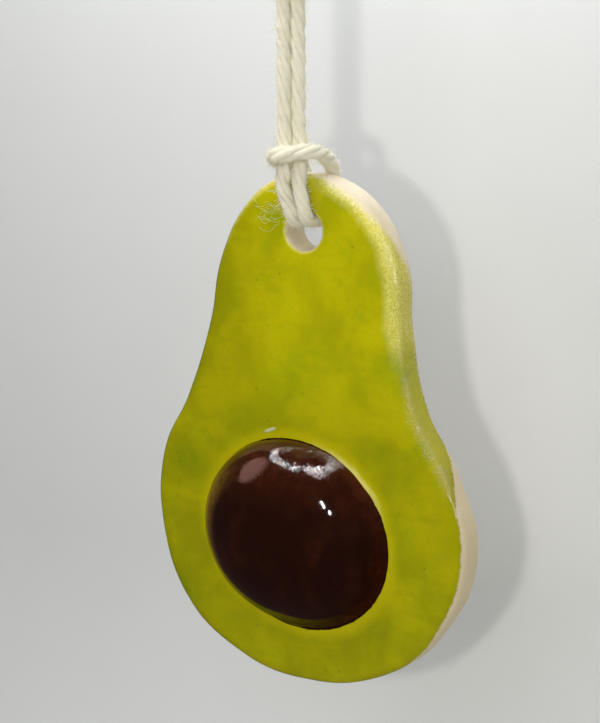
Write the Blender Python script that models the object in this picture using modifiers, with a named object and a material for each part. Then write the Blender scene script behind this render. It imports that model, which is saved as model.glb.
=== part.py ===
"""Ceramic half-avocado ornament on a doubled cotton cord.

Metres, +Z up, glazed face towards -Y. The origin is the top of the cord's loop, inside the
bend, where a hook carries the ornament.
"""
import math

import bmesh
import bpy
from mathutils import Matrix, Vector

# Clay slab, hung by its hole.
BODY_HEIGHT = 0.090
BODY_WIDTH = 0.0615
BODY_THICKNESS = 0.0070
BODY_TOP = Vector((0.0021, 0.0040, -0.0560))
FRONT_EDGE_RADIUS = 0.0022
BACK_EDGE_RADIUS = 0.0006
HOLE_DIAMETER = 0.0072
HOLE_DROP = 0.0096

# The slab's outline, from top to bottom: depth below the top as a share of the height, then
# the reach to the left and to the right of the hole's axis as shares of the width.
OUTLINE = (
    (0.013, 0.110, 0.088),
    (0.067, 0.208, 0.200),
    (0.167, 0.284, 0.279),
    (0.300, 0.326, 0.296),
    (0.444, 0.397, 0.343),
    (0.567, 0.488, 0.442),
    (0.711, 0.497, 0.501),
    (0.867, 0.411, 0.418),
    (0.967, 0.225, 0.250),
)
BOTTOM_SHIFT = -0.013

# Clay pit, a low dome bedded in a shallow seat in the face.
PIT_LENGTH = 0.0369
PIT_BREADTH = 0.0326
PIT_TILT = math.radians(29)
PIT_STAND_OUT = 0.0110
PIT_RISE = 0.0268
PIT_SHIFT = -0.0011
SEAT_DEPTH = 0.0010

# Cotton cord.
CORD_DIAMETER = 0.0022
WRAP_TURNS = 3
WRAP_TOP = -0.0156
WRAP_DEPTH = 0.0029
STRAIGHT_ENOUGH = math.radians(45)

# Room left between pieces that touch.
CLEARANCE = 0.0003

# The way the cord runs, in millimetres, as one closed loop. From the top of the hanging loop
# the left tail comes down in front of the face, goes back through the hole and turns up.
LEFT_TAIL = (
    (0.0, 0.0, 1.1),
    (-1.9, -1.1, 0.4),
    (-3.4, -1.9, -2.2),
    (-3.6, -2.0, -5.4),
    (-2.4, -1.4, -8.8),
    (-1.3, -0.75, -11.8),
    (-1.1, -0.6, -14.5),
    (-1.1, -0.6, -20.0),
    (-1.0, -0.6, -26.6),
    (-0.7, -0.7, -38.0),
    (-0.5, -0.8, -48.0),
    (-0.3, -1.0, -52.5),
    (-0.6, -1.5, -55.5),
    (-0.7, -1.5, -58.0),
    (0.1, -1.2, -60.8),
    (0.6, -0.6, -63.1),
    (0.7, 0.7, -63.9),
    (0.7, 4.0, -63.9),
    (0.7, 7.3, -63.9),
    (0.6, 8.6, -63.2),
    (0.1, 9.1, -61.2),
)
# The bight lies over the top edge, round both tails and over the edge again.
BIGHT = (
    (-1.6, 9.1, -58.0),
    (-2.9, 8.3, -55.2),
    (-3.2, 4.6, -54.2),
    (-3.1, 0.8, -53.8),
    (-2.7, -1.8, -53.2),
    (-1.5, -3.4, -52.7),
    (0.1, -3.6, -52.5),
    (2.0, -2.7, -52.2),
    (3.8, -1.4, -52.0),
    (4.5, 0.6, -52.1),
    (4.2, 3.8, -52.8),
    (3.6, 7.2, -54.2),
    (3.3, 8.9, -56.3),
    (3.3, 9.1, -58.8),
)
# The right tail goes down the back, forward through the hole and up in front.
RIGHT_TAIL = (
    (3.35, 9.1, -61.2),
    (3.35, 8.6, -63.1),
    (3.35, 7.3, -63.8),
    (3.35, 4.0, -63.8),
    (3.35, 0.7, -63.8),
    (3.35, -0.6, -63.1),
    (3.0, -1.2, -60.8),
    (2.3, -1.2, -58.0),
    (2.0, -0.6, -55.5),
    (1.9, 0.3, -52.5),
    (1.7, 0.4, -48.0),
    (1.5, 0.5, -38.0),
    (1.2, 0.6, -26.6),
    (1.1, 0.6, -20.0),
    (1.1, 0.6, -14.5),
    (1.3, 0.75, -11.8),
    (2.4, 1.4, -8.8),
    (3.6, 2.0, -5.4),
    (3.4, 1.9, -2.2),
    (1.9, 1.1, 0.4),
)
TAIL_OFFSET = Vector((0.0011, 0.0006, 0.0))

FACE_Y = BODY_TOP.y - BODY_THICKNESS / 2
PIT_CENTRE = Vector((BODY_TOP.x + PIT_SHIFT, FACE_Y, BODY_TOP.z - BODY_HEIGHT + PIT_RISE))
FACING_FRONT = Matrix.Rotation(math.radians(90), 4, "X")


def clear_scene():
    for thing in list(bpy.data.objects):
        bpy.data.objects.remove(thing, do_unlink=True)


def new_collection(name):
    collection = bpy.data.collections.new(name)
    bpy.context.scene.collection.children.link(collection)
    return collection


def material(name, colour, roughness):
    made = bpy.data.materials.new(name)
    made.use_nodes = True
    shader = made.node_tree.nodes["Principled BSDF"]
    shader.inputs["Base Color"].default_value = (*colour, 1.0)
    shader.inputs["Roughness"].default_value = roughness
    shader.inputs["Metallic"].default_value = 0.0
    return made


def add_object(name, data, collection, surface=None):
    made = bpy.data.objects.new(name, data)
    if surface:
        data.materials.append(surface)
    collection.objects.link(made)
    return made


def mesh_from_curve(curve_object, name, collection, surface):
    """Replace a curve object by the welded mesh it evaluates to, in world space."""
    bpy.context.view_layer.update()
    evaluated = curve_object.evaluated_get(bpy.context.evaluated_depsgraph_get())
    mesh = bpy.data.meshes.new_from_object(evaluated)
    mesh.transform(curve_object.matrix_world)
    mesh.materials.clear()
    bpy.data.objects.remove(curve_object, do_unlink=True)
    shape = bmesh.new()
    shape.from_mesh(mesh)
    bmesh.ops.remove_doubles(shape, verts=shape.verts, dist=1e-6)
    bmesh.ops.recalc_face_normals(shape, faces=shape.faces)
    shape.to_mesh(mesh)
    shape.free()
    return add_object(name, mesh, collection, surface)


def outline_points():
    """The slab's outline in its own plane, clockwise from the top seen from the front."""
    right = [(reach * BODY_WIDTH, -drop * BODY_HEIGHT) for drop, _, reach in OUTLINE]
    left = [(-reach * BODY_WIDTH, -drop * BODY_HEIGHT) for drop, reach, _ in OUTLINE]
    bottom = (BOTTOM_SHIFT * BODY_WIDTH, -BODY_HEIGHT)
    return [(0.0, 0.0), *right, bottom, *reversed(left)]


def slab_blank(collection):
    """The slab as a flat outline with real thickness, before its edges are rounded."""
    curve = bpy.data.curves.new("slab_outline", "CURVE")
    curve.dimensions = "2D"
    curve.fill_mode = "BOTH"
    curve.extrude = BODY_THICKNESS / 2
    curve.resolution_u = 4
    curve.render_resolution_u = 0
    points = outline_points()
    spline = curve.splines.new("BEZIER")
    spline.bezier_points.add(len(points) - 1)
    for knot, (across, up) in zip(spline.bezier_points, points):
        knot.co = (across, up, 0.0)
        knot.handle_left_type = knot.handle_right_type = "AUTO"
    spline.use_cyclic_u = True
    blank = add_object("slab_outline", curve, collection)
    blank.matrix_world = Matrix.Translation(BODY_TOP) @ FACING_FRONT
    return blank


def round_edges(body):
    """Join each flat face into one polygon, then round its rim."""
    mesh = body.data
    shape = bmesh.new()
    shape.from_mesh(mesh)
    for facing in (-1.0, 1.0):
        flat = [face for face in shape.faces if face.normal.y * facing > 0.99]
        bmesh.ops.dissolve_faces(shape, faces=flat, use_verts=False)
    for facing, radius, segments in ((-1.0, FRONT_EDGE_RADIUS, 4), (1.0, BACK_EDGE_RADIUS, 1)):
        rim = [edge for edge in shape.edges
               if sorted(round(face.normal.y * facing) for face in edge.link_faces) == [0, 1]]
        bmesh.ops.bevel(shape, geom=rim, offset=radius, segments=segments, profile=0.5,
                        affect="EDGES", clamp_overlap=False)
    bmesh.ops.recalc_face_normals(shape, faces=shape.faces)
    shape.to_mesh(mesh)
    shape.free()


def turned_across(name, profile, steps, collection):
    """A profile of (radius, depth) turned about Y, its first point at the front."""
    mesh = bpy.data.meshes.new(name)
    edges = [(i, i + 1) for i in range(len(profile) - 1)]
    mesh.from_pydata([(radius, 0.0, -depth) for radius, depth in profile], edges, [])
    made = add_object(name, mesh, collection)
    screw = made.modifiers.new("turn", "SCREW")
    screw.axis = "Z"
    screw.steps = screw.render_steps = steps
    screw.use_merge_vertices = True
    screw.merge_threshold = 0.00001
    made.rotation_euler = (math.radians(90), 0.0, 0.0)
    return made


def as_cutter(thing):
    thing.hide_render = True
    thing.display_type = "WIRE"
    return thing


def cut(body, cutter):
    boolean = body.modifiers.new(cutter.name, "BOOLEAN")
    boolean.operation = "DIFFERENCE"
    boolean.solver = "EXACT"
    boolean.object = cutter


def build_body(parts, cutters, glaze):
    body = mesh_from_curve(slab_blank(parts), "ceramic_body", parts, glaze)
    round_edges(body)

    reach = BODY_THICKNESS
    radius = HOLE_DIAMETER / 2
    hole = turned_across("hole_cutter", [(0.0, -reach), (radius, -reach), (radius, reach), (0.0, reach)],
                         36, cutters)
    hole.location = BODY_TOP - Vector((0.0, 0.0, HOLE_DROP))
    cut(body, as_cutter(hole))

    seat = turned_across("seat_cutter", [(0.0, -SEAT_DEPTH), (1.0, -SEAT_DEPTH),
                                         (1.0, SEAT_DEPTH), (0.0, SEAT_DEPTH)], 56, cutters)
    place_as_pit(seat, CLEARANCE)
    cut(body, as_cutter(seat))
    return body


def place_as_pit(turned, room):
    """Stretch a turned profile of unit radius to the pit's oval, with room all round, and set it."""
    turned.scale = (PIT_LENGTH / 2 + room, PIT_BREADTH / 2 + room, 1.0)
    turned.rotation_euler.y = PIT_TILT
    turned.location = PIT_CENTRE


def build_pit(parts, glaze):
    rings = 14
    dome = [(math.sin(angle), -PIT_STAND_OUT * math.cos(angle))
            for angle in (math.pi / 2 * i / rings for i in range(rings + 1))]
    base = SEAT_DEPTH - CLEARANCE
    pit = turned_across("pit", [*dome, (1.0, base), (0.0, base)], 56, parts)
    pit.data.materials.append(glaze)
    place_as_pit(pit, 0.0)
    return pit


def smooth_loop(route):
    """Points along a closed smooth curve through the route, with one more in each span that bends."""
    count = len(route)
    points = []
    for i, here in enumerate(route):
        before, after, beyond = route[i - 1], route[(i + 1) % count], route[(i + 2) % count]
        points.append(here)
        turn = (here - before).angle(after - here) + (after - here).angle(beyond - after)
        if turn > STRAIGHT_ENOUGH:
            points.append((9 * (here + after) - before - beyond) / 16)
    return points


def tube(name, points, closed, collection, surface):
    curve = bpy.data.curves.new(name, "CURVE")
    curve.dimensions = "3D"
    curve.bevel_depth = CORD_DIAMETER / 2
    curve.bevel_resolution = 2
    curve.render_resolution_u = 0
    curve.use_fill_caps = not closed
    spline = curve.splines.new("POLY")
    spline.points.add(len(points) - 1)
    for knot, point in zip(spline.points, points):
        knot.co = (*point, 1.0)
    spline.use_cyclic_u = closed
    return add_object(name, curve, collection, surface)


def build_cord(parts, cotton):
    route = [Vector(point) / 1000 for point in (*LEFT_TAIL, *BIGHT, *RIGHT_TAIL)]
    return tube("cord_loop", smooth_loop(route), True, parts, cotton)


def build_wrap(parts, cotton):
    """Turns of cord about both tails, just under the hanging loop."""
    reach = CORD_DIAMETER + CLEARANCE
    along = TAIL_OFFSET.normalized()
    across = Vector((-along.y, along.x, 0.0))
    half_width = TAIL_OFFSET.length + reach
    steps = 16
    points = []
    for i in range(WRAP_TURNS * steps + 1):
        angle = 2 * math.pi * i / steps
        drop = Vector((0.0, 0.0, WRAP_TOP - reach * i / steps))
        points.append(along * half_width * math.cos(angle) + across * WRAP_DEPTH * math.sin(angle) + drop)
    return tube("cord_wrap", points, False, parts, cotton)


def build():
    clear_scene()
    parts = new_collection("ceramic_avocado_ornament")
    cutters = new_collection("cutters")
    green = material("green_glaze", (0.52, 0.49, 0.0), 0.18)
    brown = material("brown_glaze", (0.035, 0.008, 0.006), 0.08)
    cotton = material("cotton", (0.80, 0.76, 0.62), 0.9)
    body = build_body(parts, cutters, green)
    pit = build_pit(parts, brown)
    for piece in (body, pit):
        piece.data.shade_smooth()
        piece.data.set_sharp_from_angle(angle=math.radians(40))
    build_cord(parts, cotton)
    build_wrap(parts, cotton)


build()
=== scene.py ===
import math

import bmesh
import bpy
import numpy as np
from mathutils import Matrix, Vector, kdtree, noise


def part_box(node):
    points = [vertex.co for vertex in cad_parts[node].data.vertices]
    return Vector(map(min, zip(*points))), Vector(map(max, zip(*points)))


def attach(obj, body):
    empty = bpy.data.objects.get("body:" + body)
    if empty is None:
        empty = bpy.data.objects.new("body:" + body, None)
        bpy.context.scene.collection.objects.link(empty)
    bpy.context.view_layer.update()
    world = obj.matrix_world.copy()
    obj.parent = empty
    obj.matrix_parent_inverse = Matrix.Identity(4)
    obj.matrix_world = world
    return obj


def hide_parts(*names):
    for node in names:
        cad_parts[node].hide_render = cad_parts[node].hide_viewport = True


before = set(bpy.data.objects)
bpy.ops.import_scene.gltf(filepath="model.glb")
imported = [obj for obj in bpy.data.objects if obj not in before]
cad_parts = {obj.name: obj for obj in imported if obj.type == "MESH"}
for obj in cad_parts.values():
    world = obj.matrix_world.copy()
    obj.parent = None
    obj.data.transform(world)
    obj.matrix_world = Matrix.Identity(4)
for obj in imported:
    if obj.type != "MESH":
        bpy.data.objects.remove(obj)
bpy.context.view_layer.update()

millimetre = 0.001
scene = bpy.context.scene
scene.view_settings.view_transform = "Standard"


def placed(name, data):
    thing = bpy.data.objects.new(name, data)
    scene.collection.objects.link(thing)
    return thing


def meshOf(thing):
    # the plain mesh that a thing's modifiers or a curve's thickness make
    bpy.context.view_layer.update()
    graph = bpy.context.evaluated_depsgraph_get()
    return bpy.data.meshes.new_from_object(thing.evaluated_get(graph), preserve_all_data_layers=True,
                                           depsgraph=graph)


def keepPlain(thing):
    mesh = meshOf(thing)
    thing.modifiers.clear()
    thing.data = mesh
    return mesh


# Camera, a little above the ornament and to its right.

cameraSetup = {
    "azimuth": 30.0,
    "elevation": 9.0,
    "distance": 0.360,
    "sensor": 36.0,
    "lens": 122.82,
    "aim": (-0.00082, 0.00448, -0.08915),
}


def directionTo(azimuth, elevation):
    # azimuth 0 is straight in front of the glazed face, 90 is on its right
    turn = math.radians(azimuth)
    rise = math.radians(elevation)
    return Vector((math.sin(turn) * math.cos(rise), -math.cos(turn) * math.cos(rise), math.sin(rise)))


def addCamera(setup):
    back = directionTo(setup["azimuth"], setup["elevation"])
    right = directionTo(setup["azimuth"] + 90.0, 0.0)
    data = bpy.data.cameras.new("camera")
    data.sensor_fit = "HORIZONTAL"
    data.sensor_width = setup["sensor"]
    data.lens = setup["lens"]
    data.clip_start = 0.01
    camera = placed("camera", data)
    turned = Matrix((right, back.cross(right), back)).transposed().to_4x4()
    turned.translation = Vector(setup["aim"]) + back * setup["distance"]
    camera.matrix_world = turned
    scene.camera = camera


addCamera(cameraSetup)
print("camera set")


# Small helpers for node trees, used by the materials and by the cord's geometry nodes.

def feed(tree, socket, value):
    if isinstance(value, bpy.types.NodeSocket):
        tree.links.new(value, socket)
    else:
        socket.default_value = value


def inputOf(node, key):
    if isinstance(key, int):
        return node.inputs[key]
    return next(socket for socket in node.inputs if socket.name == key and socket.enabled)


def outputOf(node, name=None):
    return next(socket for socket in node.outputs if socket.enabled and name in (None, socket.name))


def addNode(tree, kind, inputs=None, **settings):
    node = tree.nodes.new(kind)
    for name, value in settings.items():
        setattr(node, name, value)
    for key, value in (inputs or {}).items():
        feed(tree, inputOf(node, key), value)
    return node


def outputFrom(tree, kind, inputs=None, **settings):
    return outputOf(addNode(tree, kind, inputs, **settings))


def calc(tree, operation, *values, clamp=False):
    node = addNode(tree, "ShaderNodeMath", operation=operation, use_clamp=clamp)
    for socket, value in zip(node.inputs, values):
        feed(tree, socket, value)
    return node.outputs[0]


def plus(tree, first, *others):
    for other in others:
        first = calc(tree, "ADD", first, other)
    return first


def minus(tree, first, second):
    return calc(tree, "SUBTRACT", first, second)


def times(tree, first, *others):
    for other in others:
        first = calc(tree, "MULTIPLY", first, other)
    return first


def distanceOf(tree, across, up):
    return calc(tree, "SQRT", plus(tree, times(tree, across, across), times(tree, up, up)))


def vectorCalc(tree, operation, *values):
    node = addNode(tree, "ShaderNodeVectorMath", operation=operation)
    for socket, value in zip([s for s in node.inputs if s.enabled], values):
        feed(tree, socket, value)
    return outputOf(node)


def ramped(tree, value, start, end, low=0.0, high=1.0):
    # low at start, high at end, eased in between
    return outputFrom(tree, "ShaderNodeMapRange", {"Value": value, "From Min": start, "From Max": end,
                                                   "To Min": low, "To Max": high},
                      interpolation_type="SMOOTHSTEP")


def blended(tree, factor, first, second):
    return outputFrom(tree, "ShaderNodeMix", {"Factor": factor, "A": first, "B": second}, data_type="RGBA")


def clouds(tree, vector, scale, detail=2.0, roughness=0.5, distortion=0.0):
    node = addNode(tree, "ShaderNodeTexNoise", {"Vector": vector, "Scale": scale, "Detail": detail,
                                                "Roughness": roughness, "Distortion": distortion})
    return outputOf(node, "Fac")


def drift(tree, vector, scale, amount, detail=3.0, roughness=0.6):
    # clouds that swing by half of amount to either side of nothing
    return times(tree, minus(tree, clouds(tree, vector, scale, detail, roughness), 0.5), amount)


def bumped(tree, height):
    # height is in millimetres
    return outputFrom(tree, "ShaderNodeBump", {"Height": height, "Strength": 1.0, "Distance": millimetre})


def newMaterial(name):
    material = bpy.data.materials.new(name)
    material.use_nodes = True
    tree = material.node_tree
    return material, tree, tree.nodes["Principled BSDF"]


def placeInMillimetres(tree):
    position = addNode(tree, "ShaderNodeTexCoord").outputs["Object"]
    return vectorCalc(tree, "MULTIPLY", position, (1000.0, 1000.0, 1000.0))


def attributeOf(tree, name, output="Fac"):
    return addNode(tree, "ShaderNodeAttribute", attribute_name=name).outputs[output]


# The doubled cotton cord: one closed loop through the hole, tied round itself over the top edge.

cordSetup = {
    "diameter": 2.4 * millimetre,
    "strands": 4,
    "strandRadius": 0.66 * millimetre,
    "strandReach": 0.62 * millimetre,
    "lay": 13.5 * millimetre,
    "step": 0.30 * millimetre,
    "curvePieces": 7,
    "coreShare": 1.75,  # the core that the fuzz roots on, in strand radii
    "fuzzPerSquareMetre": 4.6e6,
    "fuzzLength": 1.25 * millimetre,
    "fuzzThickness": 0.024 * millimetre,
    "fuzzCurl": 0.9,
    "frayPlace": (-0.0022, -0.0022, -0.0535),
    "frayReach": 3.2 * millimetre,
    "swellPlace": (0.0002, -0.0026, -0.0526),
    "swellReach": 6.0 * millimetre,
    "swell": 0.20,
    "seed": 7,
}

cordRoute = (
    (0.0000, 0.0000, 0.0011), (-0.0019, -0.0011, 0.0004), (-0.0034, -0.0019, -0.0022),
    (-0.0036, -0.0020, -0.0054), (-0.0024, -0.0014, -0.0088), (-0.0013, -0.00075, -0.0118),
    (-0.0011, -0.0006, -0.0145), (-0.0011, -0.0006, -0.0200), (-0.0011, -0.0006, -0.0266),
    (-0.0009, -0.0007, -0.0380), (-0.0008, -0.0008, -0.0480), (-0.0006, -0.0010, -0.0525),
    (-0.0006, -0.0015, -0.0555), (-0.0007, -0.0015, -0.0580), (0.0001, -0.0012, -0.0608),
    (0.0006, -0.0006, -0.0631), (0.0007, 0.0007, -0.0639), (0.0007, 0.0040, -0.0639),
    (0.0007, 0.0073, -0.0639), (0.0006, 0.0086, -0.0632), (0.0001, 0.0091, -0.0612),
    (-0.0016, 0.0091, -0.0580), (-0.0027, 0.0083, -0.0552), (-0.0028, 0.0046, -0.0542),
    (-0.0026, 0.0008, -0.0538), (-0.0021, -0.0018, -0.0531), (-0.0010, -0.0033, -0.0527),
    (0.0001, -0.0036, -0.0525), (0.0020, -0.0027, -0.0522), (0.0038, -0.0014, -0.0520),
    (0.0045, 0.0006, -0.0521), (0.0042, 0.0038, -0.0528), (0.0036, 0.0072, -0.0542),
    (0.0033, 0.0089, -0.0563), (0.0033, 0.0091, -0.0588), (0.00335, 0.0091, -0.0612),
    (0.00335, 0.0086, -0.0631), (0.00335, 0.0073, -0.0638), (0.00335, 0.0040, -0.0638),
    (0.00335, 0.0007, -0.0638), (0.00335, -0.0006, -0.0631), (0.0030, -0.0012, -0.0608),
    (0.0023, -0.0012, -0.0580), (0.0020, -0.0006, -0.0555), (0.0019, 0.0003, -0.0525),
    (0.0012, 0.0004, -0.0480), (0.0011, 0.0005, -0.0380), (0.0010, 0.0006, -0.0266),
    (0.0011, 0.0006, -0.0200), (0.0011, 0.0006, -0.0145), (0.0013, 0.00075, -0.0118),
    (0.0024, 0.0014, -0.0088), (0.0036, 0.0020, -0.0054), (0.0034, 0.0019, -0.0022),
    (0.0019, 0.0011, 0.0004),
)

# The cord's binding, three turns about both tails.
wrapSetup = {
    "turns": 3,
    "stepsPerTurn": 16,
    "top": -0.0156,
    "depth": 0.0029,
    "drop": 0.0025,
    "tailOffset": (0.0011, 0.0006, 0.0),
    "tuck": ((0.0010, 0.0004), (0.0028, 0.0016)),
    "tuckRise": 0.0006,
}


cottonSetup = {
    "fibreTurn": 1300.0,  # per metre of strand
    "fibresRound": 2.6,
    "fibresAlong": 420.0,
    "fibreDepth": 0.22,
    "shaded": (0.91, 0.84, 0.62, 1),
    "pale": (0.99, 0.965, 0.81, 1),
    "warm": (0.95, 0.91, 0.72, 1),
    "dusty": (0.72, 0.64, 0.46, 1),
    "loose": (0.98, 0.94, 0.78, 1),
}


def smoothLine(points, closed, pieces):
    # a Catmull-Rom line through the points, with equal numbers of pieces in each span
    points = [Vector(point) for point in points]
    count = len(points)
    line = []
    for i in range(count if closed else count - 1):
        before = points[i - 1] if closed or i else points[0] * 2 - points[1]
        here = points[i]
        after = points[(i + 1) % count]
        beyond = points[(i + 2) % count] if closed or i + 2 < count else after * 2 - here
        for j in range(pieces):
            t = j / pieces
            line.append(0.5 * (2 * here + (after - before) * t
                               + (2 * before - 5 * here + 4 * after - beyond) * t * t
                               + (3 * here - before - 3 * after + beyond) * t * t * t))
    if not closed:
        line.append(points[-1])
    return line


def lineLength(line, closed):
    pairs = zip(line, line[1:] + line[:1] if closed else line[1:])
    return sum((b - a).length for a, b in pairs)


def wrapLine(setup):
    offset = Vector(setup["tailOffset"])
    along = offset.normalized()
    across = Vector((-along.y, along.x, 0.0))
    halfWidth = offset.length + setup["drop"]
    steps = setup["stepsPerTurn"]
    points = []
    for i in range(setup["turns"] * steps + 1):
        angle = 2 * math.pi * i / steps
        height = setup["top"] - setup["drop"] * i / steps
        points.append(along * halfWidth * math.cos(angle) + across * setup["depth"] * math.sin(angle)
                      + Vector((0.0, 0.0, height)))
    # both ends are tucked in between the tails
    rise = Vector((0.0, 0.0, setup["tuckRise"]))
    inner, outer = setup["tuck"]
    first = Vector((0.0, 0.0, points[0].z)) + rise
    last = Vector((0.0, 0.0, points[-1].z)) - rise
    tuckedFirst = [along * a - across * b + first for a, b in (inner, outer)]
    tuckedLast = [along * a + across * b + last for a, b in (outer, inner)]
    return tuckedFirst + points + tuckedLast


def cottonMaterial(setup):
    material, tree, shader = newMaterial("cottonYarn")
    along = attributeOf(tree, "yarnAlong")
    around = attributeOf(tree, "yarnAround", "Vector")
    loose = attributeOf(tree, "looseFibre")
    place = placeInMillimetres(tree)

    # fine fibres run along each strand, turned slowly round it
    sideX, sideY, _ = addNode(tree, "ShaderNodeSeparateXYZ", {"Vector": around}).outputs
    turned = plus(tree, calc(tree, "ARCTAN2", sideY, sideX), times(tree, along, setup["fibreTurn"]))
    fibreSpot = outputFrom(tree, "ShaderNodeCombineXYZ", {
        "X": times(tree, calc(tree, "COSINE", turned), setup["fibresRound"]),
        "Y": times(tree, calc(tree, "SINE", turned), setup["fibresRound"]),
        "Z": times(tree, along, setup["fibresAlong"])})
    fibres = clouds(tree, fibreSpot, 1.6, 3.0, 0.65)
    strandTone = clouds(tree, place, 0.35, 2.0)
    dust = clouds(tree, place, 3.2, 2.0, 0.7)

    # painted shade: the colour darkens where the fibres' bump is low, in the grooves between the fibres
    tone = blended(tree, ramped(tree, fibres, 0.32, 0.66), setup["shaded"], setup["pale"])
    tone = blended(tree, ramped(tree, strandTone, 0.40, 0.72, 0.0, 0.55), tone, setup["warm"])
    tone = blended(tree, ramped(tree, dust, 0.66, 0.76, 0.0, 0.35), tone, setup["dusty"])
    feed(tree, shader.inputs["Base Color"], blended(tree, loose, tone, setup["loose"]))
    shader.inputs["Roughness"].default_value = 0.85
    shader.inputs["Specular IOR Level"].default_value = 0.25
    shader.inputs["Sheen Weight"].default_value = 0.15
    shader.inputs["Sheen Roughness"].default_value = 0.5
    feed(tree, shader.inputs["Normal"], bumped(tree, times(tree, fibres, setup["fibreDepth"])))
    return material


def named(tree, geometry, name, value, kind="FLOAT", domain="POINT"):
    return outputFrom(tree, "GeometryNodeStoreNamedAttribute",
                      {"Geometry": geometry, "Name": name, "Value": value}, data_type=kind, domain=domain)


def storedIn(tree, name, kind="FLOAT"):
    return outputFrom(tree, "GeometryNodeInputNamedAttribute", {"Name": name}, data_type=kind)


def randomOf(tree, low, high, seed, kind="FLOAT"):
    return outputFrom(tree, "FunctionNodeRandomValue", {"Min": low, "Max": high, "Seed": seed},
                      data_type=kind)


def alongCurve(tree, curve, profile, **more):
    return outputFrom(tree, "GeometryNodeCurveToMesh", {"Curve": curve, "Profile Curve": profile, **more})


def circleOf(tree, corners, radius):
    return outputFrom(tree, "GeometryNodeCurvePrimitiveCircle", {"Resolution": corners, "Radius": radius})


cordInputs = {
    "strands": "Int", "strandRadius": "Float", "strandReach": "Float", "turns": "Float", "step": "Float",
    "coreShare": "Float", "fuzzPerSquareMetre": "Float", "fuzzLength": "Float", "fuzzThickness": "Float",
    "fuzzCurl": "Float", "frayPlace": "Vector", "frayReach": "Float", "swellPlace": "Vector",
    "swellReach": "Float", "swell": "Float", "seed": "Int",
}


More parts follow.
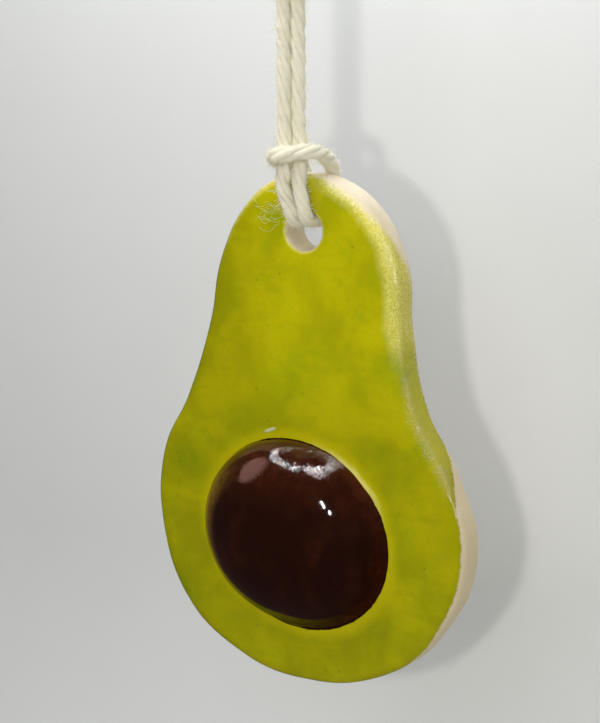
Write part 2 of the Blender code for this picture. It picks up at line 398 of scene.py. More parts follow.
def cordTree(material):
    # a path goes in as a string of edges, and twisted strands with their loose fibres come out
    tree = bpy.data.node_groups.new("twistedCord", "GeometryNodeTree")
    face = tree.interface
    face.new_socket("Geometry", in_out="INPUT", socket_type="NodeSocketGeometry")
    for name, kind in cordInputs.items():
        face.new_socket(name, in_out="INPUT", socket_type="NodeSocket" + kind)
    face.new_socket("Geometry", in_out="OUTPUT", socket_type="NodeSocketGeometry")
    entry = tree.nodes.new("NodeGroupInput").outputs
    leave = tree.nodes.new("NodeGroupOutput")
    place = outputFrom(tree, "GeometryNodeInputPosition")
    spline = tree.nodes.new("GeometryNodeSplineParameter").outputs

    path = outputFrom(tree, "GeometryNodeMeshToCurve", {"Mesh": entry["Geometry"]})
    middle = outputFrom(tree, "GeometryNodeResampleCurve", {"Curve": path, "Length": entry["step"]},
                        mode="LENGTH")

    # strands
    copies = addNode(tree, "GeometryNodeDuplicateElements", {"Geometry": middle, "Amount": entry["strands"]},
                     domain="SPLINE").outputs
    share = calc(tree, "DIVIDE", copies["Duplicate Index"], entry["strands"])
    turn = minus(tree, share, times(tree, spline["Factor"], entry["turns"]))
    angle = times(tree, turn, 2 * math.pi)
    normal = outputFrom(tree, "GeometryNodeInputNormal")
    tangent = outputFrom(tree, "GeometryNodeInputTangent")
    sideways = vectorCalc(tree, "CROSS_PRODUCT", tangent, normal)
    awayFromSwell = vectorCalc(tree, "DISTANCE", place, entry["swellPlace"])
    swollen = calc(tree, "MULTIPLY_ADD", ramped(tree, awayFromSwell, 0.0, entry["swellReach"], 1.0, 0.0),
                   entry["swell"], 1.0)
    unevenReach = times(tree, entry["strandReach"], swollen,
                        ramped(tree, clouds(tree, place, 420.0, 1.0), 0.3, 0.7, 0.90, 1.08))
    unevenWidth = times(tree, swollen, ramped(tree, clouds(tree, place, 650.0, 1.0), 0.3, 0.7, 0.90, 1.10))
    ring = vectorCalc(tree, "ADD",
                      vectorCalc(tree, "SCALE", normal, calc(tree, "COSINE", angle)),
                      vectorCalc(tree, "SCALE", sideways, calc(tree, "SINE", angle)))
    laid = outputFrom(tree, "GeometryNodeSetPosition", {
        "Geometry": copies["Geometry"], "Offset": vectorCalc(tree, "SCALE", ring, unevenReach)})
    measured = named(tree, laid, "yarnAlong", spline["Length"])
    thick = outputFrom(tree, "GeometryNodeSetCurveRadius", {"Curve": measured, "Radius": unevenWidth})
    section = named(tree, circleOf(tree, 12, entry["strandRadius"]), "yarnAround",
                    vectorCalc(tree, "NORMALIZE", place), "FLOAT_VECTOR")
    widths = outputFrom(tree, "GeometryNodeInputRadius")
    strands = alongCurve(tree, thick, section, **{"Scale": widths, "Fill Caps": True})

    # loose fibres, rooted on a thin core inside the strands, and more of them where the cord is frayed
    core = alongCurve(tree, middle, circleOf(tree, 8, times(tree, entry["strandRadius"], entry["coreShare"])))
    awayFromFray = vectorCalc(tree, "DISTANCE", place, entry["frayPlace"])
    fray = ramped(tree, awayFromFray, 0.0, entry["frayReach"], 1.0, 0.0)
    crowd = times(tree, entry["fuzzPerSquareMetre"], calc(tree, "MULTIPLY_ADD", fray, 3.0, 1.0))
    roots = addNode(tree, "GeometryNodeDistributePointsOnFaces", {"Mesh": core, "Density": crowd,
                                                                  "Seed": entry["seed"]}).outputs
    lean = randomOf(tree, (-1.1, -1.1, -1.1), (1.1, 1.1, 1.1), 11, "FLOAT_VECTOR")
    heading = vectorCalc(tree, "ADD", roots["Normal"], lean)
    rotation = outputFrom(tree, "FunctionNodeAlignRotationToVector", {"Vector": heading}, axis="Z")
    longer = calc(tree, "MULTIPLY_ADD", calc(tree, "POWER", randomOf(tree, 0.0, 1.0, 23), 3.0), 0.75, 0.40)
    length = times(tree, longer, entry["fuzzLength"], calc(tree, "MULTIPLY_ADD", fray, 0.4, 1.0))
    stalk = outputFrom(tree, "GeometryNodeCurvePrimitiveLine", {"Start": (0, 0, 0), "End": (0, 0, 1)})
    jointed = outputFrom(tree, "GeometryNodeResampleCurve", {"Curve": stalk, "Count": 4})
    hairs = outputFrom(tree, "GeometryNodeInstanceOnPoints", {
        "Points": roots["Points"], "Instance": jointed, "Rotation": rotation, "Scale": length})
    tagged = named(tree, hairs, "hairShift", randomOf(tree, (0, 0, 0), (90, 90, 90), 31, "FLOAT_VECTOR"),
                   "FLOAT_VECTOR", "INSTANCE")
    sized = named(tree, tagged, "hairLength", length, "FLOAT", "INSTANCE")
    real = outputFrom(tree, "GeometryNodeRealizeInstances", {"Geometry": sized})
    shift = storedIn(tree, "hairShift", "FLOAT_VECTOR")
    hairLength = storedIn(tree, "hairLength")
    wave = addNode(tree, "ShaderNodeTexNoise", {
        "Vector": vectorCalc(tree, "ADD", vectorCalc(tree, "SCALE", place, 900.0), shift),
        "Scale": 1.0, "Detail": 1.0})
    sway = vectorCalc(tree, "SUBTRACT", outputOf(wave, "Color"), (0.5, 0.5, 0.5))
    bend = times(tree, times(tree, hairLength, spline["Factor"]), times(tree, entry["fuzzCurl"], 3.2))
    curled = outputFrom(tree, "GeometryNodeSetPosition", {
        "Geometry": real, "Offset": vectorCalc(tree, "SCALE", sway, bend)})
    fuzz = named(tree, alongCurve(tree, curled, circleOf(tree, 3, entry["fuzzThickness"])), "looseFibre", 1.0)

    joined = tree.nodes.new("GeometryNodeJoinGeometry")
    tree.links.new(strands, joined.inputs[0])
    tree.links.new(fuzz, joined.inputs[0])
    smooth = outputFrom(tree, "GeometryNodeSetShadeSmooth", {"Geometry": joined.outputs["Geometry"]})
    solid = outputFrom(tree, "GeometryNodeRealizeInstances", {"Geometry": smooth})
    coloured = outputFrom(tree, "GeometryNodeSetMaterial", {"Geometry": solid, "Material": material})
    tree.links.new(coloured, leave.inputs[0])
    return tree


def growFrom(tree, name, mesh, values):
    # runs the tree on the mesh and keeps the result as a plain mesh
    grown = placed(name, mesh)
    modifier = grown.modifiers.new("grow", "NODES")
    modifier.node_group = tree
    sockets = {item.name: item.identifier for item in tree.interface.items_tree if item.in_out == "INPUT"}
    for key, value in values.items():
        modifier[sockets[key]] = value
    keepPlain(grown).name = name
    return grown


def layCord(tree, name, line, closed, setup, fray=1.0):
    edges = [(i, i + 1) for i in range(len(line) - 1)]
    turns = lineLength(line, closed) / setup["lay"]
    if closed:
        edges.append((len(line) - 1, 0))
        turns = round(turns)
    mesh = bpy.data.meshes.new(name + "Path")
    mesh.from_pydata([tuple(point) for point in line], edges, [])
    values = {key: setup[key] for key in cordInputs if key in setup}
    values.update(turns=float(turns), frayReach=setup["frayReach"] * fray + 1e-6, swell=setup["swell"] * fray)
    return growFrom(tree, name, mesh, values)


cotton = cottonMaterial(cottonSetup)
twist = cordTree(cotton)
loopLine = smoothLine(cordRoute, True, cordSetup["curvePieces"])
cordPiece = layCord(twist, "hanging_cord", loopLine, True, cordSetup)
wrapPiece = layCord(twist, "cord_binding", smoothLine(wrapLine(wrapSetup), False, 3), False, cordSetup, 0.0)
cordLength = lineLength(loopLine, True)

# Long fibres that have worked loose from the front of the hitch and lie over the glaze.
fraySetup = {
    "count": 11,
    "lowest": -0.0655,
    "highest": -0.0614,
    "shortest": 2.2 * millimetre,
    "longest": 4.8 * millimetre,
    "thickness": 0.009 * millimetre,
    "points": 26,
    "root": (-0.0015, -0.0012),
    "forward": (-0.55, 0.05),
    "upward": (-0.5, 0.4),
    "bends": (0.6, 1.8),
    "curl": 0.21,
    "clearOfFace": 0.1 * millimetre,
    "seed": 41,
}


def buildFray(setup, material):
    chance = np.random.default_rng(setup["seed"])
    curve = bpy.data.curves.new("loose_fibres", "CURVE")
    curve.dimensions = "3D"
    curve.bevel_depth = setup["thickness"]
    curve.bevel_resolution = 0
    for _ in range(setup["count"]):
        root = Vector((*setup["root"], chance.uniform(setup["lowest"], setup["highest"])))
        heading = Vector((-1.0, chance.uniform(*setup["forward"]), chance.uniform(*setup["upward"])))
        heading.normalize()
        length = chance.uniform(setup["shortest"], setup["longest"])
        turn = chance.uniform(0, 2 * math.pi)
        bends = chance.uniform(*setup["bends"]) * 2 * math.pi
        upright = heading.orthogonal().normalized()
        aside = heading.cross(upright)
        spline = curve.splines.new("POLY")
        spline.points.add(setup["points"] - 1)
        for j, point in enumerate(spline.points):
            t = j / (setup["points"] - 1)
            swing = upright * math.cos(turn + bends * t) + aside * math.sin(turn + bends * t)
            spot = root + (heading * t + swing * t * setup["curl"]) * length
            # a fibre that reaches the face bends along it
            spot.y = min(spot.y, -setup["clearOfFace"] - setup["thickness"])
            point.co = (*spot, 1.0)
    strands = placed("loose_fibres", curve)
    mesh = meshOf(strands)
    bpy.data.objects.remove(strands)
    mesh.name = "loose_fibres"
    mesh.materials.clear()
    mesh.materials.append(material)
    flag = mesh.attributes.new("looseFibre", "FLOAT", "POINT")
    flag.data.foreach_set("value", [1.0] * len(mesh.vertices))
    return placed("loose_fibres", mesh)


frayPiece = buildFray(fraySetup, cotton)
print("cord laid, %.3f m, %d faces" % (cordLength, len(cordPiece.data.polygons)))


# The clay slab and its pit. The outline is (drop from the top, reach to the left, reach to the right),
# in shares of the slab's height and width.

bodySetup = {
    "axisX": 2.1 * millimetre,
    "outline": (
        (0.013, 0.110, 0.088),
        (0.067, 0.208, 0.200),
        (0.167, 0.284, 0.279),
        (0.300, 0.326, 0.296),
        (0.444, 0.397, 0.343),
        (0.567, 0.488, 0.442),
        (0.711, 0.497, 0.501),
        (0.867, 0.411, 0.418),
        (0.967, 0.225, 0.250),
    ),
    "width": 61.5 * millimetre,
    "bottomShift": -0.013,
    "frontRounding": 2.1 * millimetre,
    "backRounding": 0.7 * millimetre,
    "holeDiameter": 7.2 * millimetre,
    "holeDrop": 9.6 * millimetre,
    "voxel": 0.42 * millimetre,
    "unevenness": 0.16 * millimetre,
    "swellsPerMetre": (75.0, 210.0),
    "pooling": 0.20 * millimetre,
    "poolReach": 0.14,
}

pitSetup = {
    "centre": (0.0010, 0.0005, -0.1192),
    "length": 36.9 * millimetre,
    "breadth": 32.6 * millimetre,
    "standOut": 11.0 * millimetre,
    "tilt": math.radians(29.0),
    "bedding": 0.7 * millimetre,
    "capSine": 0.84,
    "capSide": math.radians(8.0),
    "lensShare": (0.58, 0.75),
    "waviness": 0.10 * millimetre,
    "wavesPerMetre": 130.0,
    "rings": 90,
    "sectors": 220,
}


def slabOutline(setup, height):
    # points (x, z) round the slab, the given knots joined by a smooth closed curve
    right = [(reach * setup["width"], -drop * height) for drop, _, reach in setup["outline"]]
    left = [(-reach * setup["width"], -drop * height) for drop, reach, _ in setup["outline"]]
    bottom = (setup["bottomShift"] * setup["width"], -height)
    knots = [(0.0, 0.0), *right, bottom, *reversed(left)]
    curve = bpy.data.curves.new("slabOutline", "CURVE")
    curve.resolution_u = 18
    spline = curve.splines.new("BEZIER")
    spline.bezier_points.add(len(knots) - 1)
    for knot, (across, up) in zip(spline.bezier_points, knots):
        knot.co = (across, up, 0.0)
        knot.handle_left_type = knot.handle_right_type = "AUTO"
    spline.use_cyclic_u = True
    drawn = placed("slabOutline", curve)
    points = [(vertex.co.x, vertex.co.y) for vertex in meshOf(drawn).vertices]
    bpy.data.objects.remove(drawn)
    return points


def ovalReachOf(point):
    # 0 at the pit's middle and 1 at its edge, seen from the front
    tilt = pitSetup["tilt"]
    dx = point.x - pitSetup["centre"][0]
    dz = point.z - pitSetup["centre"][2]
    along = (dx * math.cos(tilt) - dz * math.sin(tilt)) / (pitSetup["length"] / 2)
    across = (dx * math.sin(tilt) + dz * math.cos(tilt)) / (pitSetup["breadth"] / 2)
    return math.hypot(along, across)


def buildBody(setup):
    low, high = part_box("ceramic_body")
    height = high.z - low.z
    outline = slabOutline(setup, height)
    shape = bmesh.new()
    rim = [shape.verts.new((setup["axisX"] + x, low.y, high.z + z)) for x, z in outline]
    front = shape.faces.new(rim)
    front.normal_update()
    if front.normal.y > 0:
        front.normal_flip()
    grown = bmesh.ops.extrude_face_region(shape, geom=[front], use_keep_orig=True)
    for item in grown["geom"]:
        if isinstance(item, bmesh.types.BMVert):
            item.co.y = high.y
    bmesh.ops.recalc_face_normals(shape, faces=shape.faces)
    for facing, radius, segments in ((-1.0, setup["frontRounding"], 8), (1.0, setup["backRounding"], 3)):
        edges = [edge for edge in shape.edges
                 if sorted(round(face.normal.y * facing) for face in edge.link_faces) == [0, 1]]
        bmesh.ops.bevel(shape, geom=edges, offset=radius, segments=segments, profile=0.5,
                        affect="EDGES", clamp_overlap=False)
    bmesh.ops.triangulate(shape, faces=shape.faces)
    mesh = bpy.data.meshes.new("ceramic_slab")
    shape.to_mesh(mesh)
    shape.free()
    body = placed("ceramic_slab", mesh)

    # the hole
    drill = bmesh.new()
    bmesh.ops.create_cone(drill, cap_ends=True, segments=72, radius1=setup["holeDiameter"] / 2,
                          radius2=setup["holeDiameter"] / 2, depth=0.03)
    drillMesh = bpy.data.meshes.new("drill")
    drill.to_mesh(drillMesh)
    drill.free()
    middle = (low.y + high.y) / 2
    drillMesh.transform(Matrix.Translation((setup["axisX"], middle, high.z - setup["holeDrop"]))
                        @ Matrix.Rotation(math.radians(90), 4, "X"))
    cutter = placed("drill", drillMesh)
    hole = body.modifiers.new("hole", "BOOLEAN")
    hole.operation = "DIFFERENCE"
    hole.solver = "EXACT"
    hole.object = cutter
    remesh = body.modifiers.new("even", "REMESH")
    remesh.mode = "VOXEL"
    remesh.voxel_size = setup["voxel"]
    soften = body.modifiers.new("soften", "SMOOTH")
    soften.factor = 0.5
    soften.iterations = 4
    mesh = keepPlain(body)
    bpy.data.objects.remove(cutter)

    # hand-rolled clay is never quite flat, and the glaze pools where the pit meets the face
    tree = kdtree.KDTree(len(outline))
    for i, (x, z) in enumerate(outline):
        tree.insert((setup["axisX"] + x, 0.0, high.z + z), i)
    tree.balance()
    broad, fine = setup["swellsPerMetre"]
    wrapReach = np.empty(len(mesh.vertices), np.float32)
    moved = []
    for i, vertex in enumerate(mesh.vertices):
        co = vertex.co
        inward = tree.find((co.x, 0.0, co.z))[2]
        depth = co.y - low.y
        wrapReach[i] = (depth - inward if co.y < middle else depth + inward) / millimetre
        swell = (noise.noise(co * broad) + 0.35 * noise.noise(co * fine)) * setup["unevenness"]
        push = vertex.normal * swell
        reach = ovalReachOf(co)
        if co.y < low.y + millimetre and reach < 1.0 + setup["poolReach"]:
            pooled = max(0.0, 1.0 - (max(reach, 1.0) - 1.0) / setup["poolReach"])
            push.y -= setup["pooling"] * pooled * pooled
        moved.append(co + push)
    for vertex, co in zip(mesh.vertices, moved):
        vertex.co = co
    attribute = mesh.attributes.new("wrapReach", "FLOAT", "POINT")
    attribute.data.foreach_set("value", wrapReach)
    mesh.shade_smooth()
    return body


def buildPit(setup):
    # a low dome on an oval base, drawn as rings from its edge to its top
    centre = Vector(setup["centre"])
    tilt = setup["tilt"]
    along = Vector((math.cos(tilt), 0.0, -math.sin(tilt))) * (setup["length"] / 2)
    across = Vector((math.sin(tilt), 0.0, math.cos(tilt))) * (setup["breadth"] / 2)
    # the side towards capSide meets the face as a lens does, the other side as half an egg does
    capDrop = math.sqrt(1.0 - setup["capSine"] ** 2)
    evenShare, swing = setup["lensShare"]
    shape = bmesh.new()
    rows = []
    for ring in range(-2, setup["rings"]):
        if ring < 0:
            spread = 1.0
        else:
            angle = math.pi / 2 * ring / setup["rings"]
            spread = math.cos(angle)
            egg = math.sin(angle)
            lens = (math.sqrt(1.0 - (setup["capSine"] * spread) ** 2) - capDrop) / (1.0 - capDrop)
        row = []
        for sector in range(setup["sectors"]):
            turn = 2 * math.pi * sector / setup["sectors"]
            co = centre + (along * math.cos(turn) + across * math.sin(turn)) * spread
            if ring < 0:
                co.y = centre.y + setup["bedding"] * -ring / 2
            else:
                lensShare = min(1.0, max(0.0, evenShare + swing * math.cos(turn - setup["capSide"])))
                lensShare = lensShare * lensShare * (3.0 - 2.0 * lensShare)
                co.y = centre.y - setup["standOut"] * (egg + (lens - egg) * lensShare)
            row.append(shape.verts.new(co))
        rows.append(row)
    top = shape.verts.new(centre - Vector((0.0, setup["standOut"], 0.0)))
    bottom = shape.verts.new(centre + Vector((0.0, setup["bedding"], 0.0)))
    count = setup["sectors"]
    for low, high in zip(rows, rows[1:]):
        for i in range(count):
            shape.faces.new((low[i], low[(i + 1) % count], high[(i + 1) % count], high[i]))
    for i in range(count):
        shape.faces.new((rows[-1][i], rows[-1][(i + 1) % count], top))
        shape.faces.new((rows[0][(i + 1) % count], rows[0][i], bottom))
    bmesh.ops.recalc_face_normals(shape, faces=shape.faces)
    shape.normal_update()
    for vertex in shape.verts:
        swell = noise.noise(vertex.co * setup["wavesPerMetre"] + Vector((3.0, 1.0, 7.0)))
        vertex.co += vertex.normal * swell * setup["waviness"]
    mesh = bpy.data.meshes.new("avocado_pit")
    shape.to_mesh(mesh)
    shape.free()
    mesh.shade_smooth()
    return placed("avocado_pit", mesh)


# Glazes. All lengths in the shaders are in millimetres.

glazeSetup = {
    "yellow": (0.560, 0.515, 0.0006, 1),
    "olive": (0.410, 0.400, 0.0006, 1),
    "leaf": (0.260, 0.345, 0.0010, 1),
    "thin": (0.880, 0.790, 0.200, 1),
    "halo": (0.590, 0.520, 0.0008, 1),
    "clay": (0.870, 0.780, 0.600, 1),
    "clayDark": (0.790, 0.680, 0.480, 1),
    "clayLowStainAndShade": (0.800, 0.660, 0.400, 1),
    "brown": (0.0150, 0.0026, 0.0010, 1),
    "redBrown": (0.0900, 0.0200, 0.0050, 1),
    "amberThinAndReflected": (0.3200, 0.1800, 0.0150, 1),
    "speck": (0.160, 0.130, 0.010, 1),
    "pepper": (0.300, 0.290, 0.010, 1),
    "mark": (0.660, 0.680, 0.420, 1),
    "greenPatches": (  # x, z, radius, strength
        (-21.5, -108.3, 5.5, 0.75),
        (-22.8, -132.6, 6.0, 0.70),
        (20.5, -88.5, 6.5, 0.75),
        (20.3, -117.0, 6.0, 0.40),
        (-10.5, -101.0, 7.0, 0.35),
        (-11.0, -139.5, 7.0, 0.30),
        (2.0, -90.0, 10.5, 0.42),
    ),
    "markAt": (-4.6, -101.1),
    "markHalf": (1.45, 0.42),
    "markSlope": 0.35,
    "brushEdge": (1.004, 1.014),  # where the brown stops, from the pit's middle to its edge being 1
    "shoulder": (-100.0, -84.0),  # below it the glaze stops at a clean line, above it in specks
    "boreEdge": (3.78, 3.58),
    "thinAtBore": (4.25, 3.75),
}


def spotAt(tree, x, z, centre, radius):
    # 1 in the middle of a round spot on the face, 0 at its edge
    away = distanceOf(tree, minus(tree, x, centre[0]), minus(tree, z, centre[1]))
    return ramped(tree, away, 0.0, radius, 1.0, 0.0)


def ovalReach(tree, x, z):
    # ovalReachOf as nodes
    tilt = pitSetup["tilt"]
    dx = minus(tree, x, pitSetup["centre"][0] / millimetre)
    dz = minus(tree, z, pitSetup["centre"][2] / millimetre)
    halfLength = pitSetup["length"] / 2 / millimetre
    halfBreadth = pitSetup["breadth"] / 2 / millimetre
    cosine, sine = math.cos(tilt), math.sin(tilt)
    along = minus(tree, times(tree, dx, cosine / halfLength), times(tree, dz, sine / halfLength))
    across = plus(tree, times(tree, dx, sine / halfBreadth), times(tree, dz, cosine / halfBreadth))
    return distanceOf(tree, along, across)


def bodyMaterial(colours):
    material, tree, shader = newMaterial("greenGlazeOnClay")
    place = placeInMillimetres(tree)
    x, _, z = addNode(tree, "ShaderNodeSeparateXYZ", {"Vector": place}).outputs
    wrap = attributeOf(tree, "wrapReach")

    # mottled glaze, laid on in broad soft strokes
    broad = clouds(tree, place, 0.085, 3.0, 0.55, 0.4)
    strokes = clouds(tree, vectorCalc(tree, "MULTIPLY", place, (0.10, 0.3, 0.42)), 1.0, 3.0, 0.6, 0.3)
    curdled = clouds(tree, place, 1.1, 4.0, 0.62)
    tone = blended(tree, ramped(tree, broad, 0.36, 0.66), colours["yellow"], colours["olive"])
    tone = blended(tree, ramped(tree, strokes, 0.48, 0.70, 0.0, 0.42), tone, colours["olive"])
    tone = blended(tree, ramped(tree, curdled, 0.50, 0.72, 0.0, 0.22), tone, colours["leaf"])
    leafy = ramped(tree, clouds(tree, place, 0.13), 0.56, 0.74, 0.0, 0.45)
    for px, pz, radius, strength in colours["greenPatches"]:
        leafy = calc(tree, "MAXIMUM", leafy, times(tree, spotAt(tree, x, z, (px, pz), radius), strength))
    uneven = ramped(tree, clouds(tree, place, 0.5, 3.0, 0.6), 0.30, 0.62, 0.35, 1.0)
    tone = blended(tree, times(tree, leafy, uneven), tone, colours["leaf"])

    # a brighter ring of glaze round the pit, thin at its upper right
    reach = ovalReach(tree, x, z)
    haloReach = plus(tree, reach, drift(tree, place, 0.22, 0.10, 2.0, 0.5))
    tone = blended(tree, ramped(tree, haloReach, 1.02, 1.17, 0.75, 0.0), tone, colours["halo"])
    upperRight = spotAt(tree, x, z, (14.0, -106.0), 13.0)
    thinRing = times(tree, ramped(tree, haloReach, 1.012, 1.065, 0.95, 0.0), upperRight)
    tone = blended(tree, thinRing, tone, colours["thin"])

    # the glaze thins over the rounded edge, most at the upper right
    neck = times(tree, ramped(tree, z, -91.0, -80.0), ramped(tree, x, 2.0, 9.0))
    flank = times(tree, ramped(tree, z, -112.0, -101.0), ramped(tree, x, 2.0, 9.0))
    crown = times(tree, ramped(tree, z, -76.0, -62.0), ramped(tree, x, 4.0, -4.0))
    ripple = drift(tree, place, 0.30, 1.7)
    edged = plus(tree, wrap, ripple)
    thinStep = plus(tree, ramped(tree, edged, -3.2, -0.8, 0.0, 0.72),
                    ramped(tree, edged, -1.2, 2.6, 0.0, 0.22))
    thinCrown = times(tree, ramped(tree, edged, -1.6, 0.6, 0.0, 0.8), crown)
    thinElse = ramped(tree, edged, 0.2, 2.6, 0.0, 0.35)
    thin = calc(tree, "MAXIMUM", calc(tree, "MAXIMUM", times(tree, thinStep, neck), thinCrown), thinElse)
    grain = ramped(tree, clouds(tree, place, 2.8, 3.0, 0.7), 0.36, 0.62, 0.50, 1.20)
    tone = blended(tree, calc(tree, "MULTIPLY", thin, grain, clamp=True), tone, colours["thin"])

    # painted shade: the glaze is darkened low down and to the left, but not close round the pit
    paintedShadeLowLeft = calc(tree, "MAXIMUM", ramped(tree, z, -86.0, -106.0, 0.0, 0.75), ramped(tree, x, 0.0, -16.0))
    paintedShadeLowLeft = times(tree, paintedShadeLowLeft, ramped(tree, haloReach, 1.02, 1.17, 0.35, 1.0))
    tone = vectorCalc(tree, "SCALE", tone, calc(tree, "MULTIPLY_ADD", paintedShadeLowLeft, -0.24, 1.0))

    # tiny dark specks, in a share of the cells: nearest and farthest edge, share left out, strength
    cells = addNode(tree, "ShaderNodeTexVoronoi", {"Vector": place, "Scale": 0.42}).outputs
    chosen = addNode(tree, "ShaderNodeSeparateColor", {"Color": cells["Color"]}).outputs[0]
    finer = addNode(tree, "ShaderNodeTexVoronoi", {"Vector": place, "Scale": 1.9}).outputs
    for spots, pick, inner, outer, leftOut, strength, name in (
            (cells, chosen, 0.07, 0.13, 0.80, 0.45, "speck"),
            (finer, finer["Color"], 0.12, 0.26, 0.62, 0.20, "pepper")):
        dots = times(tree, ramped(tree, spots["Distance"], inner, outer, 1.0, 0.0),
                     calc(tree, "GREATER_THAN", pick, leftOut), strength)
        tone = blended(tree, dots, tone, colours[name])

    # a pale kiln mark above the pit
    fromMark = minus(tree, x, colours["markAt"][0])
    aboveMark = minus(tree, minus(tree, z, colours["markAt"][1]), times(tree, fromMark, colours["markSlope"]))
    away = distanceOf(tree, calc(tree, "DIVIDE", fromMark, colours["markHalf"][0]),
                      calc(tree, "DIVIDE", aboveMark, colours["markHalf"][1]))
    mark = ramped(tree, plus(tree, away, times(tree, ripple, 0.12)), 0.55, 1.0, 1.0, 0.0)
    tone = blended(tree, times(tree, mark, 0.75), tone, colours["mark"])

    # brown from the pit's brush, in a slightly shaky hand that shied away at one place
    shy = times(tree, spotAt(tree, x, z, (13.0, -107.5), 8.0), 0.016)
    brushed = plus(tree, reach, drift(tree, place, 0.6, 0.020), shy)
    tone = blended(tree, ramped(tree, brushed, *colours["brushEdge"], 1.0, 0.0), tone, colours["brown"])

    # bare clay on the wall, the back and the bore
    patchy = ramped(tree, clouds(tree, place, 0.16, 3.0, 0.6), 0.35, 0.70)
    clayTone = blended(tree, patchy, colours["clay"], colours["clayDark"])
    gritty = ramped(tree, clouds(tree, place, 2.2, 3.0, 0.7), 0.52, 0.72, 0.0, 0.35)
    clayTone = blended(tree, gritty, clayTone, colours["clayDark"])
    # lower down the clay is darker and yellower: partly a glaze stain, partly painted shade and painted
    # bounce light
    clayTone = blended(tree, ramped(tree, z, -82.0, -102.0, 0.0, 0.8), clayTone, colours["clayLowStainAndShade"])
    fray = drift(tree, place, 0.75, 1.1)
    reachOnWall = calc(tree, "MULTIPLY_ADD", flank, ramped(tree, z, -58.0, -76.0, -2.3, 4.6),
                       ramped(tree, z, -106.0, -118.0, 2.0, 0.3))
    belowRight = ramped(tree, z, -128.0, -140.0, 0.0, 1.2)
    limit = plus(tree, reachOnWall, belowRight, times(tree, crown, -0.9))
    past = minus(tree, plus(tree, wrap, fray, times(tree, ripple, 0.35)), limit)
    specked = times(tree, ramped(tree, z, *colours["shoulder"]), drift(tree, place, 2.2, 5.0, 3.0, 0.7))
    softness = ramped(tree, z, *colours["shoulder"], 0.30, 1.7)
    bareWall = ramped(tree, calc(tree, "DIVIDE", plus(tree, past, specked), softness), -1.0, 1.0)
    hx = minus(tree, x, bodySetup["axisX"] / millimetre)
    hz = minus(tree, z, (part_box("ceramic_body")[1].z - bodySetup["holeDrop"]) / millimetre)
    fromHole = plus(tree, distanceOf(tree, hx, hz), times(tree, fray, 0.25))
    tone = blended(tree, ramped(tree, fromHole, *colours["thinAtBore"], 0.0, 0.7), tone, colours["thin"])
    bare = calc(tree, "MAXIMUM", bareWall, ramped(tree, fromHole, *colours["boreEdge"]))
    feed(tree, shader.inputs["Base Color"], blended(tree, bare, tone, clayTone))

    glazeRoughness = calc(tree, "MULTIPLY_ADD", curdled, 0.10, 0.08)
    feed(tree, shader.inputs["Roughness"], calc(tree, "MULTIPLY_ADD", bare, 0.62, glazeRoughness))
    shader.inputs["IOR"].default_value = 1.5

    # glaze thickness steps down to the clay; the thin glaze is pimpled and the clay is sandy
    film = times(tree, bare, -0.10)
    orange = drift(tree, place, 0.75, 0.06, 1.0, 0.5)
    onBend = times(tree, ramped(tree, wrap, -2.6, -1.4), ramped(tree, x, 3.0, 9.0),
                   ramped(tree, z, -114.0, -106.0))
    pimples = times(tree, clouds(tree, place, 2.4, 1.5), calc(tree, "MULTIPLY_ADD", onBend, 0.200, 0.010))
    sand = times(tree, clouds(tree, place, 4.5, 3.0, 0.7), times(tree, bare, 0.06))
    height = plus(tree, film, orange, pimples, sand, times(tree, mark, 0.12))
    feed(tree, shader.inputs["Normal"], bumped(tree, height))
    return material


def pitMaterial(colours):
    material, tree, shader = newMaterial("brownGlaze")
    place = placeInMillimetres(tree)
    x, _, z = addNode(tree, "ShaderNodeSeparateXYZ", {"Vector": place}).outputs
    reach = ovalReach(tree, x, z)

    # dark where the glaze is thick, redder where it runs thin
    runs = clouds(tree, vectorCalc(tree, "MULTIPLY", place, (0.22, 0.16, 0.12)), 1.0, 3.0, 0.55, 0.2)
    broken = clouds(tree, place, 0.55, 4.0, 0.65)
    topThin = ramped(tree, z, -114.0, -104.5)
    redness = plus(tree, times(tree, topThin, 0.42), ramped(tree, runs, 0.46, 0.80, 0.0, 0.30),
                   ramped(tree, reach, 0.86, 1.0, 0.0, 0.35))
    redness = calc(tree, "MULTIPLY", redness, ramped(tree, broken, 0.28, 0.66, 0.35, 1.0), clamp=True)
    tone = blended(tree, redness, colours["brown"], colours["redBrown"])
    # amber where the glaze thins out at the left, which also stands in as a painted reflection of the wall at
    # the left; dark again along the very edge and towards the top
    rim = times(tree, ramped(tree, reach, 0.68, 0.90), ramped(tree, x, -4.0, -13.0),
                ramped(tree, broken, 0.25, 0.60, 0.5, 1.0), ramped(tree, reach, 0.945, 0.985, 1.0, 0.2),
                ramped(tree, z, -104.5, -114.0))
    feed(tree, shader.inputs["Base Color"], blended(tree, times(tree, rim, 0.85), tone, colours["amberThinAndReflected"]))

    # the foot is less glossy, low down
    foot = times(tree, ramped(tree, reach, 0.80, 0.94), ramped(tree, z, -111.0, -123.0))
    rough = calc(tree, "MULTIPLY_ADD", topThin, 0.02, calc(tree, "MULTIPLY_ADD", broken, 0.04, 0.03))
    feed(tree, shader.inputs["Roughness"], calc(tree, "MULTIPLY_ADD", foot, 0.22, rough))
    feed(tree, shader.inputs["Specular IOR Level"], calc(tree, "MULTIPLY_ADD", foot, -0.48, 0.5))
    shader.inputs["IOR"].default_value = 1.52
    pimpled = times(tree, topThin, ramped(tree, clouds(tree, place, 0.35), 0.30, 0.55))
    pimples = times(tree, clouds(tree, place, 2.3, 2.0, 0.6),
                    calc(tree, "MULTIPLY_ADD", pimpled, 0.028, 0.002))
    orange = times(tree, clouds(tree, place, 0.4, 1.0), 0.020)
    feed(tree, shader.inputs["Normal"], bumped(tree, plus(tree, pimples, orange)))
    return material


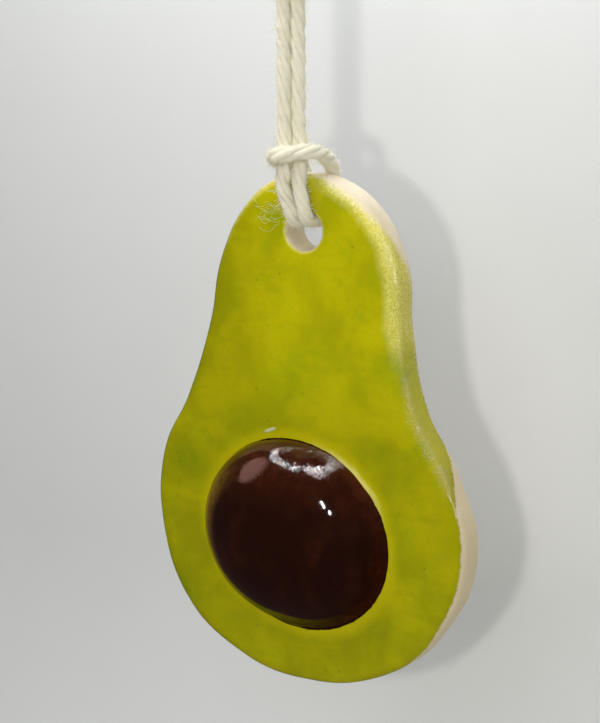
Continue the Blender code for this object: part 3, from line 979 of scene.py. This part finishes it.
body = buildBody(bodySetup)
body.data.materials.clear()
body.data.materials.append(bodyMaterial(glazeSetup))
print("slab built, %d faces" % len(body.data.polygons))
pit = buildPit(pitSetup)
pit.data.materials.append(pitMaterial(glazeSetup))
print("pit built, %d faces" % len(pit.data.polygons))


# Studio: a pale sheet hung close behind that sweeps down to the floor, and soft lights.

studioSetup = {
    "wallY": 64.0 * millimetre,
    "wallTop": 0.075,
    "bendTop": -0.143,
    "bendRadius": 0.10,
    "floorFront": -0.75,
    "halfWidth": 0.80,
    "lookAt": (0.0010, 0.0, -0.105),
    "paper": ((0.720, 0.730, 0.724, 1), (0.745, 0.755, 0.749, 1)),
}


def sheetMaterial(setup):
    material, tree, shader = newMaterial("paleSheet")
    fine = clouds(tree, placeInMillimetres(tree), 0.05, 3.0)
    feed(tree, shader.inputs["Base Color"], blended(tree, fine, *setup["paper"]))
    shader.inputs["Roughness"].default_value = 0.9
    shader.inputs["Specular IOR Level"].default_value = 0.1
    # the sheet is only seen from the ornament's side, so that it never hides the back
    clear = tree.nodes.new("ShaderNodeBsdfTransparent")
    behind = tree.nodes.new("ShaderNodeNewGeometry").outputs["Backfacing"]
    either = outputFrom(tree, "ShaderNodeMixShader", {0: behind, 1: shader.outputs[0], 2: clear.outputs[0]})
    tree.links.new(either, tree.nodes["Material Output"].inputs["Surface"])
    return material


def buildSheet(setup):
    profile = [(setup["wallY"], setup["wallTop"])]
    radius = setup["bendRadius"]
    for i in range(33):
        angle = math.pi / 2 * i / 32
        profile.append((setup["wallY"] - radius + radius * math.cos(angle),
                        setup["bendTop"] - radius * math.sin(angle)))
    floor = [profile[-1], (setup["floorFront"], setup["bendTop"] - radius)]
    material = sheetMaterial(setup)
    for name, edge in (("backdrop", profile), ("floor", floor)):
        vertices = []
        for y, z in edge:
            vertices += [(-setup["halfWidth"], y, z), (setup["halfWidth"], y, z)]
        # faces are turned towards the ornament
        faces = [(2 * i, 2 * i + 2, 2 * i + 3, 2 * i + 1) for i in range(len(edge) - 1)]
        mesh = bpy.data.meshes.new(name)
        mesh.from_pydata(vertices, [], faces)
        mesh.shade_smooth()
        mesh.materials.append(material)
        sheet = placed(name, mesh)
        sheet.visible_glossy = False


def addLamp(name, place, aim, size, power, colour=(1, 1, 1), sizeY=None, glossy=True, diffuse=True):
    # glossy False: too large or too close to be mirrored in the glaze; diffuse False: only mirrored
    data = bpy.data.lights.new(name, "AREA")
    data.shape = "ELLIPSE" if sizeY else "DISK"
    data.size = size
    data.size_y = sizeY or size
    data.energy = power
    data.color = colour
    lamp = placed(name, data)
    away = Vector(place) - Vector(aim)
    lamp.matrix_world = Matrix.LocRotScale(Vector(place), away.to_track_quat("Z", "Y"), None)
    lamp.visible_camera = False
    lamp.visible_glossy = glossy
    lamp.visible_diffuse = diffuse


def addLight(name, azimuth, elevation, distance, size, power, **more):
    aim = Vector(studioSetup["lookAt"])
    addLamp(name, aim + directionTo(azimuth, elevation) * distance, aim, size, power, **more)


def addRing(azimuth, elevation, distance, radius, count, size, power, colour):
    # a round ceiling fitting made of small lamps
    towards = directionTo(azimuth, elevation)
    centre = Vector(studioSetup["lookAt"]) + towards * distance
    across = towards.orthogonal().normalized()
    other = towards.cross(across)
    for i in range(count):
        turn = 2 * math.pi * i / count
        place = centre + (across * math.cos(turn) + other * math.sin(turn)) * radius
        addLamp("ring%02d" % i, place, place - towards, size, power, colour, diffuse=False)


def addWorld():
    world = bpy.data.worlds.new("studio")
    scene.world = world
    world.use_nodes = True
    tree = world.node_tree
    tree.nodes.clear()
    path = tree.nodes.new("ShaderNodeLightPath").outputs
    fill = outputFrom(tree, "ShaderNodeBackground", {"Color": (0.94, 0.97, 1.0, 1), "Strength": 0.170})
    dim = outputFrom(tree, "ShaderNodeBackground", {"Color": (1.0, 0.95, 0.92, 1), "Strength": 0.045})
    pale = outputFrom(tree, "ShaderNodeBackground", {"Color": (0.60, 0.61, 0.60, 1), "Strength": 1.0})
    mirrored = outputFrom(tree, "ShaderNodeMixShader", {0: path["Is Glossy Ray"], 1: fill, 2: dim})
    seen = outputFrom(tree, "ShaderNodeMixShader", {0: path["Is Camera Ray"], 1: mirrored, 2: pale})
    output = tree.nodes.new("ShaderNodeOutputWorld")
    tree.links.new(seen, output.inputs["Surface"])


addWorld()
buildSheet(studioSetup)
# name, azimuth, elevation, distance, size and power, then what differs from a plain round white lamp
addRing(-127.0, 85.0, 0.50, 0.207, 20, 0.013, 0.12, (1.0, 0.97, 0.96))
addLight("nearLens", 20.6, 10.1, 0.36, 0.018, 0.345, colour=(1.0, 0.965, 0.89), glossy=False)
addLight("streakHigh", 38.0, 38.0, 0.50, 0.011, 0.22, colour=(1.0, 0.99, 0.98), sizeY=0.042, diffuse=False)
addLight("streakLow", 43.5, 31.0, 0.50, 0.011, 0.20, colour=(1.0, 0.99, 0.98), sizeY=0.038, diffuse=False)
addLight("patch", 42.0, 68.0, 0.50, 0.13, 0.24, colour=(1.0, 0.88, 0.90), sizeY=0.07, diffuse=False)
addLight("window", -67.0, 41.0, 0.70, 0.30, 0.72, colour=(1.0, 0.54, 0.46), sizeY=0.44, diffuse=False)
addLight("sideStrip", 100.0, 20.0, 0.50, 0.02, 1.80, sizeY=0.45, diffuse=False)
addLight("leftFill", -95.0, 5.0, 0.50, 0.30, 0.03, glossy=False)
addLight("rightFill", 52.0, 22.0, 0.50, 0.25, 0.13, glossy=False)
addLight("frontFill", 15.0, 25.0, 0.50, 0.25, 0.385, glossy=False)
addLamp("nearTop", (-0.06, -0.12, 0.12), (0.0, 0.03, -0.03), 0.12, 0.120, glossy=False)
addLamp("overTop", (-0.03, -0.04, 0.11), (0.0, 0.05, -0.03), 0.10, 0.125, glossy=False)
addLamp("overWall", (0.0, 0.02, 0.12), (0.0, 0.064, -0.03), 0.30, 0.215, sizeY=0.04, glossy=False)
addLamp("overFloor", (0.0, -0.53, -0.12), (0.0, -0.56, -0.24), 1.80, 0.5, sizeY=0.45, glossy=False)
print("studio lit")


# Hand the pieces to the frame.

for piece, node, slot in ((cordPiece, "cord_loop", "cotton"), (wrapPiece, "cord_wrap", "cotton"),
                          (body, "ceramic_body", "green_glaze"), (pit, "pit", "brown_glaze")):
    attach(piece, "root")
    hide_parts(node)
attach(frayPiece, "root")
